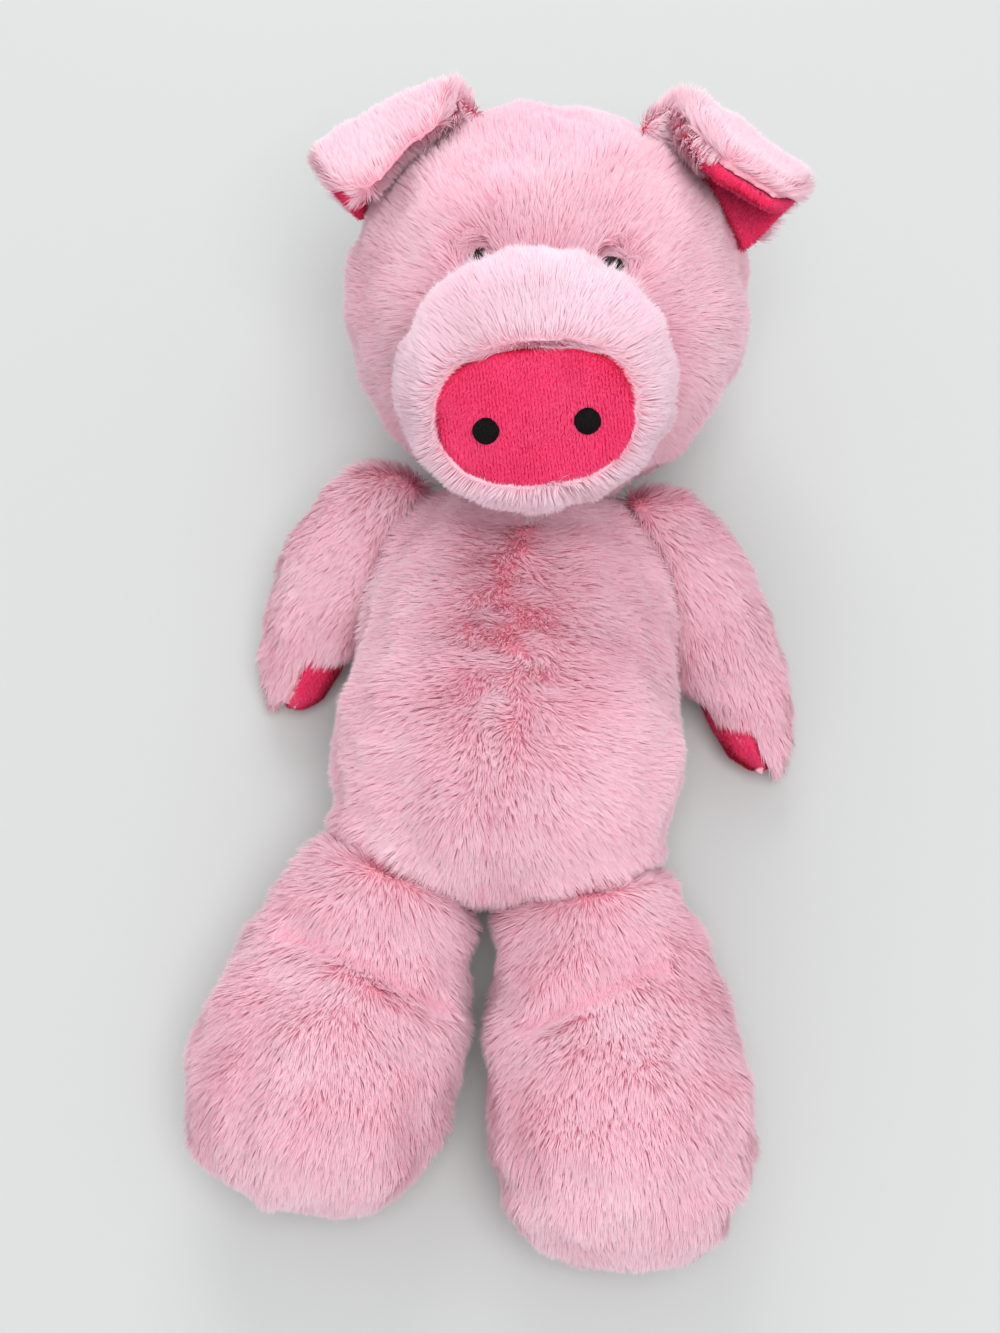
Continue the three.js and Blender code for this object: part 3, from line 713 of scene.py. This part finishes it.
skins = {
    "torso": Skin("torso_skin", [*TORSO_COATS, "torso_filling", "pellet_pouch"], PILE_DEPTH, 2.4, 16,
                  both(plump(30, 0.7, 11), crease(BELLY_SEAM, 1.6, 3),
                       towards([*LIMB_COATS, *HEAD_COATS], FILL_OUT, 12))),
    "head": Skin("head_skin", [*HEAD_COATS, "head_filling"], PILE_DEPTH, 2.6, 12,
                 both(plump(34, 0.7, 21), towards(TORSO_COATS, FILL_OUT, 12))),
    "muzzle": Skin("muzzle_skin", ["muzzle_coat", "muzzle_filling", "nose_pad"], PILE_DEPTH, 2, 12,
                   both(plump(24, 0.4, 31), towards(["nose_pad"], 1.2, 8))),
}
for side, sign in SIDES:
    leg, arm, ear = "leg_" + side, "arm_" + side, "ear_" + side
    skins[leg] = Skin(leg + "_skin", [leg + "_front", leg + "_back", leg + "_filling"], PILE_DEPTH, 2.4, 26,
                      both(plump(26, 0.8, 41), crease(LEG_CREASES[leg], 3, 3),
                           towards(TORSO_COATS, FILL_OUT, 14)))
    skins[arm] = Skin(arm + "_skin", [arm + "_front", arm + "_back", arm + "_filling", "palm_pad_" + side],
                      ARM_PILE_DEPTH, 1.8, 16, both(plump(20, 0.5, 51), towards(TORSO_COATS, FILL_OUT, 12)))
    skins[ear] = Skin(ear + "_skin", [ear + "_back"], 1.0, 1.1, 12, bend=folded(sign, EAR_FOLDED[side]))

skins["torso"].show("torso", PINK, TORSO_COATS, 0.7)
skins["head"].show("head", PINK, HEAD_COATS, 0.8)
skins["muzzle"].show("head", PALE, ["muzzle_coat"], 0.8)
for side, _ in SIDES:
    for limb in ("arm_" + side, "leg_" + side):
        skins[limb].show(limb, PINK, [limb + panel for panel in PANELS], 0.6)
    skins["ear_" + side].show("ear_" + side, PINK, ["ear_" + side + "_back"], 0.2)


# Short-pile pads, linings and tail


def steady(*way):
    """The same way everywhere."""
    way = np.array(way, float)
    return lambda at: np.broadcast_to(way, at.shape)


def napped(name, node, body, inset, voxel, rounds, flow, seed,
           rows=None, part=None, density=16, shape=None, bend=None):
    """A short-pile piece that stands for a CAD node: its backing and its nap."""
    skin = Skin(name, [node], inset, voxel, rounds, shape, bend)
    skin.show(body, VELBOA, [node], 0.3)
    look = dict(SHORT_PILE, density=density)
    if rows:
        look["rows"] = rows
    grow(name + "_nap", skin, body, VELBOA, look, flow, seed, part)
    return skin


napped("nose_pad_velboa", "nose_pad", "head", -0.2, 0.8, 8, steady(*-CROWN), 61,
       rows=(PAD_ACROSS, 0.85, 0.35), part=lambda at: (at - NOSE_CENTRE) @ OUT > -9)
pleats = {"left": both(ridge(EAR_PLEAT[:2], 2.8, 1.6), ridge(EAR_PLEAT[1:], 2.8, 1.6))}
linings = {}
for side, sign in SIDES:
    palm, lining, arm, ear = "palm_pad_" + side, "ear_%s_lining" % side, "arm_" + side, "ear_" + side
    napped(palm + "_velboa", palm, arm, 0.3, 0.9, 6, steady(sign * 0.5, -1, 0), 71 + sign)
    linings[side] = napped(lining + "_velboa", lining, ear, 0.0, 0.7, 8, steady(sign * 0.5, 1, 0), 81 + sign,
                           density=13, part=turned_over(sign, EAR_TURNED_OVER[side], rest=True),
                           shape=pleats.get(side), bend=folded(sign, EAR_FOLDED[side]))
napped("tail_velboa", "tail", "tail", 0.3, 0.6, 6, steady(0, -1, 0), 91, density=12)


# Long plush

SOURCES = {  # the lines that the fur of each body spreads from
    "torso": ((-3, 80, 66), (-2, -42, 72)),
    "leg_right": ((-22, -52, 60), (-24, -58, 60)),
    "leg_left": ((16, -52, 60), (18, -58, 60)),
    "arm_right": ((-18, 66, 50), (-24, 58, 50)),
    "arm_left": ((18, 66, 50), (24, 58, 50)),
}


def away_from(source, drift, reach=22):
    """Fur that drifts along at its source, and fans out further from it."""
    drift = np.array(drift, float)

    def way(at):
        out = at - nearest_on(at, source)
        away = np.linalg.norm(out, axis=1, keepdims=True)
        return unit(out) * smoothstep(away, 0, reach) + drift
    return way


def lean_from(source, near, far, reach):
    """Fur that stands up at its source and lies down further out."""
    def angle(at, normal):
        return near + (far - near) * smoothstep(distance_to(at, source), 0, reach)
    return angle


def half_of(z, upper):
    """The upper or lower part of a skin."""
    return lambda points: upper * (points[:, 2] - z) > 0


def quarter_of(z, upper, sign):
    """The upper or lower part of a skin on one side of the toy."""
    return lambda points: (upper * (points[:, 2] - z) > 0) & (sign * points[:, 0] > 0)


# Muzzle

TRIM_EDGE, TRIM_OUT = 1, 7  # how far from the pad the muzzle's fur is still short, and no longer is


class Tube:
    """The muzzle's own volume: how deep each point lies in it, in mm, and negative outside it."""

    middle = HEAD_CENTRE - CROWN * 12
    half_width, half_depth = 32.5, 29.8

    def depth(self, at):
        away = at - self.middle
        share = np.hypot(away[:, 0] / self.half_width, (away @ CROWN) / self.half_depth)
        return np.where(away @ OUT > 0, (1 - share) * self.half_depth, FAR_OUTSIDE)


nose_tree = tree_of("nose_pad")


def from_pad(at):
    """A share that rises from 0 at the nose pad's edge to 1 further out."""
    away = np.array([nose_tree.find_nearest(Vector(spot))[3] for spot in at])
    return smoothstep(away, TRIM_EDGE, TRIM_OUT)


def beside_pad(at):
    """Whether each point of the muzzle lies outside the pad's outline, and in front of the head."""
    away = at - NOSE_CENTRE
    share = np.abs(away @ PAD_ACROSS / PAD_HALF[0]) ** 2.6 + np.abs(away @ PAD_UP / PAD_HALF[1]) ** 2.6
    return (share > 1) & ((at - HEAD_CENTRE) @ OUT > 24)


def muzzle_flow(at):
    """Away from the nose, and back along the tube."""
    radial = at - NOSE_CENTRE
    radial = radial - dot(radial, OUT[None]) * OUT
    return unit(radial) - OUT * 0.8


def muzzle_lean(at, normal):
    return 0.8 + 0.28 * from_pad(at)


def muzzle_trim(at, normal):
    return 0.6 + 0.4 * from_pad(at)


MUZZLE_PILE = dict(LONG_PILE, density=9, length=7.8, width=0.24, tone=0.6, swirl=0.14, tuft=1.2, pull=0.35,
                   stray=0.09)
for side, sign in SIDES:
    grow("muzzle_fur_" + side, skins["muzzle"], "head", PALE, MUZZLE_PILE, muzzle_flow, 101 + sign,
         part=lambda at: beside_pad(at) & (at[:, 0] * sign > 0), lean=muzzle_lean, trim=muzzle_trim,
         bare=[(nose_tree, 0.9)], within=[skins["head"]])


# Head

EYES = [np.array(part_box("eye_" + side)).mean(0) / MM for side, _ in SIDES]
EYE_SLIT = 1.6  # the radius about an eye's middle that stays free of fur
SLIT_SIDES = 16


def slit_tree():
    """A search tree over a small disc in front of each eye."""
    points, faces = [], []
    for eye in EYES:
        axis = unit(eye - HEAD_CENTRE)
        across = unit(np.cross(axis, [0, 0, 1]))
        upward = np.cross(across, axis)
        first = len(points)
        for k in range(SLIT_SIDES):
            angle = math.radians(360 / SLIT_SIDES * k)
            points.append(eye + axis * 3 + EYE_SLIT * (across * math.cos(angle) + upward * math.sin(angle)))
        faces.append(list(range(first, first + SLIT_SIDES)))
    return BVHTree.FromPolygons(points, faces)


def beside_eye(at):
    """A share that falls from 1 by the eyes to 0 a little further off."""
    found = []
    for eye in EYES:
        axis = unit(eye - HEAD_CENTRE)
        away = at - HEAD_CENTRE
        found.append(np.linalg.norm(away - dot(away, axis[None]) * axis, axis=1))
    return 1 - smoothstep(np.minimum(*found), 5, 9)


def head_flow(at):
    """From the face over the crown and the cheeks."""
    return unit(unit(at - HEAD_CENTRE - OUT * 60) * 0.6 - OUT)


def head_tone_and_painted_light(at, normal):
    """Deeper round the muzzle, partly the fur's own colour and partly painted shade beside it, and paler at
    the crown, a painted highlight where the light falls on top.
    """
    near = np.linalg.norm(at - (NOSE_CENTRE - OUT * 14), axis=1)
    # painted shade beside the muzzle, and a painted highlight on the crown
    return -0.25 * (1 - smoothstep(near, 36, 52)) + 0.12 * smoothstep(at[:, 1], 130, 158)


def head_lean(at, normal):
    """Flat behind the face, and flat over the eyes."""
    return 0.75 + 0.2 * smoothstep(-(normal @ OUT), -0.8, 0.3) + 0.25 * beside_eye(at)


def head_trim(at, normal):
    return 1 + 0.2 * beside_eye(at)


eye_slits = slit_tree()
for side, sign in SIDES:
    for half, upper, density in (("face", 1, 6.8), ("back", -1, 3.6)):
        pile = dict(LONG_PILE, density=density)
        grow("head_%s_fur_%s" % (half, side), skins["head"], "head", PINK, pile, head_flow, 111 + sign,
             part=quarter_of(HEAD_CENTRE[2] - 8, upper, sign), tone=head_tone_and_painted_light, lean=head_lean, trim=head_trim,
             bare=[(eye_slits, 0)], within=[Tube(), skins["torso"]])


# Torso


def torso_tone_and_seam_shade(at, normal):
    """Streaked on the chest, paler at the sides and below, and darker in the belly's seam, a painted shade in
    the fold.
    """
    away = np.abs(at[:, 0] + 3 + 4 * waves(at, 30, 5))
    chest = (1 - smoothstep(away, 4, 30)) * smoothstep(normal[:, 2], 0.3, 0.9)
    low = smoothstep(-at[:, 1], 46, 60)
    # painted shade along the belly's seam, where the fold is shaded
    seam = peak(distance_beside(at, BELLY_SEAM), 1.6) * (normal[:, 2] > 0)
    edge = 0.08 * smoothstep(away, 20, 42) - 0.5 * seam
    return (-0.06 + 0.08 * waves(at, 9, 6)) * chest * (1 - low) + 0.16 * low + edge


def torso_lean(at, normal):
    out = lean_from(SOURCES["torso"], 0.72, 0.95, 30)(at, normal)
    return np.where(normal[:, 2] > 0, out, 0.95)


def torso_flow(at):
    """Down and outwards from the chest, wandering where the fur stands up."""
    way = away_from(SOURCES["torso"], (0, -0.35, 0), 36)(at)
    near = 1 - smoothstep(distance_to(at, SOURCES["torso"]), 2, 20)
    turn = 0.7 * near * waves(at, 16, 7)
    c, s = np.cos(turn), np.sin(turn)
    return np.stack([way[:, 0] * c - way[:, 1] * s, way[:, 0] * s + way[:, 1] * c, way[:, 2]], 1)


limbs = [skins[name] for name in ("leg_left", "leg_right", "arm_left", "arm_right")]
for side, sign in SIDES:
    for half, upper, density in (("front", 1, 7), ("back", -1, 3.6)):
        pile = dict(LONG_PILE, density=density)
        grow("torso_%s_fur_%s" % (half, side), skins["torso"], "torso", PINK, pile, torso_flow, 121 + sign,
             part=quarter_of(36, upper, sign), tone=torso_tone_and_seam_shade, lean=torso_lean,
             within=[skins["head"], *limbs])


# Limbs and ears


def leg_tone_and_crease_shade(name):
    """Paler towards the foot, and darker in the thigh's crease, a painted shade in the fold."""
    def tone(at, normal):
        # painted shade in the thigh's crease
        fold = peak(distance_beside(at, LEG_CREASES[name]), 2.4) * (normal[:, 2] > 0)
        return 0.2 * smoothstep(-at[:, 1], 125, 150) - 0.85 * fold
    return tone


def off_tip(side, upper):
    """The upper or lower part of an arm, without the sliver of coat at the end of its palm pad."""
    points, _ = cad_mesh(["palm_pad_" + side])
    tip = points[points[:, 1].argmin()]
    whole = half_of(14, upper)
    return lambda at: whole(at) & (np.linalg.norm(at - tip, axis=1) > 4.5)


EAR_PILE = dict(LONG_PILE, density=9, length=6.2, tone=0.85, swirl=0.15, lean=0.9, lift=0.2)
EAR_EDGE_PILE = dict(EAR_PILE, density=14, width=0.3, tone=0.95)
for side, sign in SIDES:
    leg, arm, ear = "leg_" + side, "arm_" + side, "ear_" + side
    other_leg = skins["leg_right" if side == "left" else "leg_left"]
    for half, upper, density in (("front", 1, 7), ("back", -1, 3.6)):
        pile = dict(LONG_PILE, density=density)
        grow("%s_%s_fur" % (leg, half), skins[leg], leg, PINK, pile,
             away_from(SOURCES[leg], (0, -0.5, 0)), 131 + sign, part=half_of(28, upper),
             tone=leg_tone_and_crease_shade(leg), lean=lean_from(SOURCES[leg], 0.6, 0.9, 30),
             within=[skins["torso"], other_leg])
        grow("%s_%s_fur" % (arm, half), skins[arm], arm, PINK, pile,
             away_from(SOURCES[arm], (sign * 0.3, -0.6, 0)), 141 + sign, part=off_tip(side, upper),
             lean=lean_from(SOURCES[arm], 0.7, 1.0, 30),
             bare=[(tree_of("palm_pad_" + side), 0.8)], within=[skins["torso"]])
    grow(ear + "_fur", skins[ear], ear, PINK, EAR_PILE, steady(*EAR_FLOWS[side]), 151 + sign,
         bare=[(tree_of(ear + "_lining"), 0.7)], within=[skins["head"]])
    grow(ear + "_edge_fur", linings[side], ear, PINK, EAR_EDGE_PILE, steady(*EAR_EDGE_FLOWS[side]),
         161 + sign, part=turned_over(sign, EAR_TURNED_OVER[side]), within=[skins["head"]])


# Satin-stitched nostrils: a padded dot under close rows of thread

NOSTRIL_RADIUS = 3.2
STITCHES = 15
STITCH_RADIUS = 0.36
STITCH_POINTS = 15
STITCH_HEIGHTS = (0.7, 1.2)  # the heights of the under layer, which runs across, and of the upper one


def tube(points, radius, sides=8):
    """The points and quads of a thread along a path, tapered at its ends."""
    ahead = unit(np.gradient(points, axis=0))
    across = unit(np.cross(ahead, OUT + 1e-6))
    upward = np.cross(across, ahead)
    angle = np.linspace(0, 2 * np.pi, sides, endpoint=False)
    around = np.cos(angle)[None, :, None] * across[:, None] + np.sin(angle)[None, :, None] * upward[:, None]
    thin = np.sin(np.linspace(0.12, np.pi - 0.12, len(points))) ** 0.35
    ring = points[:, None] + around * (radius * thin)[:, None, None]
    k, i = np.meshgrid(np.arange(len(points) - 1), np.arange(sides), indexing="ij")
    after = (i + 1) % sides
    quads = np.stack([k * sides + i, k * sides + after, (k + 1) * sides + after, (k + 1) * sides + i], -1)
    return ring.reshape(-1, 3), quads.reshape(-1, 4)


def stitched_dot(centre):
    """The points and quads of a round dot of satin stitch, in two crossed layers."""
    across = unit(np.array([1.0, 0, 0]) - OUT * OUT[0])
    rows, faces, first = [], [], 0
    for height, run, step in zip(STITCH_HEIGHTS, (across, CROWN), (CROWN, across)):
        for k in range(STITCHES):
            offset = (2 * (k + 0.5) / STITCHES - 1) * NOSTRIL_RADIUS
            half = math.sqrt(max(NOSTRIL_RADIUS**2 - offset**2, 0.2))
            along = np.linspace(-half, half, STITCH_POINTS)
            swell = np.sqrt(np.clip(1 - (along**2 + offset**2) / (NOSTRIL_RADIUS + 0.4) ** 2, 0, 1))
            rise = (height + 1.1) * swell - 0.9
            path = centre + offset * step + along[:, None] * run + rise[:, None] * OUT
            ring, quads = tube(path, STITCH_RADIUS)
            rows.append(ring)
            faces.append(quads + first)
            first += len(ring)
    return np.concatenate(rows), np.concatenate(faces)


for side, _ in SIDES:
    dot_points, _ = cad_mesh(["nostril_" + side])
    made = object_of(mesh_of("nostril_%s_stitches" % side, *stitched_dot(dot_points.mean(0))))
    made.data.materials.append(THREAD)
    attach(made, "head")
    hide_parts("nostril_" + side)


# Eyes: a glossy dome on a stem that passes through the coat

EYE_RADIUS = 3.9
EYE_RISE = 3
EYE_SUNK = 5.8  # how much deeper than the solid the dome sits in the fur
STEM_RADIUS = 1.3
STEM_END = 9  # how far below the dome's rim the stem ends


def turned(profile, centre, axis, sides=40):
    """The points and quads of a lathe form: `profile` holds radii and heights along `axis`."""
    across = unit(np.cross(axis, [1.0, 0, 0]))
    other = np.cross(axis, across)
    angle = np.linspace(0, 2 * np.pi, sides, endpoint=False)
    around = np.cos(angle)[:, None] * across + np.sin(angle)[:, None] * other
    rings = [centre + axis * height + around * radius for radius, height in profile]
    k, i = np.meshgrid(np.arange(len(rings) - 1), np.arange(sides), indexing="ij")
    after = (i + 1) % sides
    quads = np.stack([k * sides + i, (k + 1) * sides + i, (k + 1) * sides + after, k * sides + after], -1)
    return np.concatenate(rings), quads.reshape(-1, 4)


def eye_profile():
    """The dome from its top, its rim and the stem."""
    swell = np.linspace(0.02, 1, 14)
    dome = [(EYE_RADIUS * s, EYE_RISE * (math.sqrt(1 - 0.94 * s * s) - 1)) for s in swell]
    low = dome[-1][1]
    rim = [(EYE_RADIUS + 0.15, low - 0.3), (EYE_RADIUS, low - 0.8)]
    stem = [(STEM_RADIUS + 0.3, low - 1.4), (STEM_RADIUS, low - 2), (STEM_RADIUS, low - STEM_END)]
    return [*dome, *rim, *stem, (0.02, low - STEM_END - 0.4)]


for side, _ in SIDES:
    eye_points, _ = cad_mesh(["eye_" + side])
    axis = unit(eye_points.mean(0) - HEAD_CENTRE)
    top = HEAD_CENTRE + axis * (((eye_points - HEAD_CENTRE) @ axis).max() - EYE_SUNK)
    made = object_of(mesh_of("eye_%s_dome" % side, *turned(eye_profile(), top, axis)))
    made.data.materials.append(EYE_PLASTIC)
    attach(made, "head")
    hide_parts("eye_" + side)


# What the coats hold

LIMBS = ["arm_left", "arm_right", "leg_left", "leg_right"]
INSIDES = {
    STUFFING: [body + "_filling" for body in ("torso", "head", "muzzle", *LIMBS)],
    POUCH_COTTON: ["pellet_pouch"],
    WASHER_PLASTIC: ["eye_washer_left", "eye_washer_right"],
}
for finish, names in INSIDES.items():
    for name in names:
        nodes[name].data.materials.clear()
        nodes[name].data.materials.append(finish)


# Floor and light

FLOOR_HALF = 1500


def lamp(name, place, target, size, power):
    """A round soft lamp at `place`, in metres, that points at `target`."""
    data = bpy.data.lights.new(name, "AREA")
    data.shape = "DISK"
    data.size = size
    data.energy = power
    made = bpy.data.objects.new(name, data)
    made.location = place
    made.rotation_euler = (Vector(target) - Vector(place)).to_track_quat("-Z", "Y").to_euler()
    bpy.context.scene.collection.objects.link(made)


floor_corners = FLOOR_HALF * np.array([(-1.0, -1, 0), (1, -1, 0), (1, 1, 0), (-1, 1, 0)])
floor = object_of(mesh_of("floor", floor_corners, np.array([(0, 1, 2, 3)])))
floor_finish, _, floor_shader = material("floor", 0.9, 0, 0.1)
floor_shader.inputs["Base Color"].default_value = (0.55, 0.56, 0.55, 1)
floor.data.materials.append(floor_finish)

world = bpy.data.worlds.new("studio")
bpy.context.scene.world = world
world.use_nodes = True
background = world.node_tree.nodes["Background"]
background.inputs["Color"].default_value = (0.95, 0.97, 1, 1)
background.inputs["Strength"].default_value = 0.68

lamp("key_light", (0.15, -0.3, 1.2), (0, 0, 0.03), 0.8, 10)
lamp("crown_light", (-0.2, 1.0, 0.7), (0, 0.08, 0.05), 0.8, 6)

bpy.context.scene.view_settings.view_transform = "Standard"
